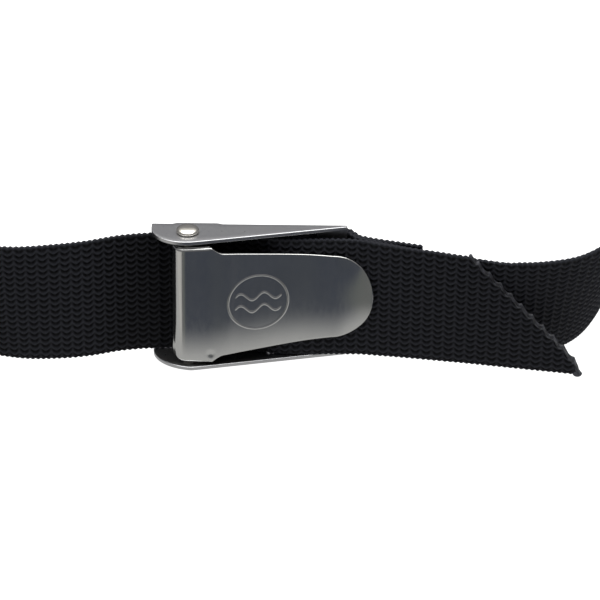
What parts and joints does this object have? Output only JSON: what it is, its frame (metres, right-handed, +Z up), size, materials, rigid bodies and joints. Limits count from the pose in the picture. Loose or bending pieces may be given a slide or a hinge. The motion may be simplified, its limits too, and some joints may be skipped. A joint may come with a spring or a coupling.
{
  "type": "dive weight belt",
  "caption": "Closed loop of wide black nylon webbing with a stainless cam-lever buckle: folded fixed end, slanting free end and a hinged lever that clamps it.",
  "frame": {"origin": "middle of the belt's footprint, on the surface that the belt stands on with its lower edge", "axes": "+Z up across the width of the webbing; the buckle is at the front and faces -Y; +X is to the right seen from the front"},
  "size_m": [0.3327, 0.44, 0.0583],
  "materials": {
    "nylon_webbing": "coarse black nylon weave",
    "frame_steel": "satin stainless, bright cut edges",
    "lever_steel": "tumbled stainless, nearly bright",
    "pin_steel": "bright riveted dome"
  },
  "bodies": {
    "buckle": {"buckle_frame": "frame_steel", "hinge_pin": "pin_steel", "webbing_free_end": "nylon_webbing", "webbing_left_side": "nylon_webbing", "webbing_back": "nylon_webbing", "webbing_right_side": "nylon_webbing", "webbing_slot_fold": "nylon_webbing", "webbing_tail": "nylon_webbing"},
    "lever": {"cam_lever": "lever_steel"}
  },
  "joints": [
    {"name": "lever_hinge", "type": "hinge", "parent": "buckle", "child": "lever", "pos_m": [-0.03675, -0.2112, 0.02915], "axis": [0, 0, -1], "range_deg": [0, 90]}
  ]
}
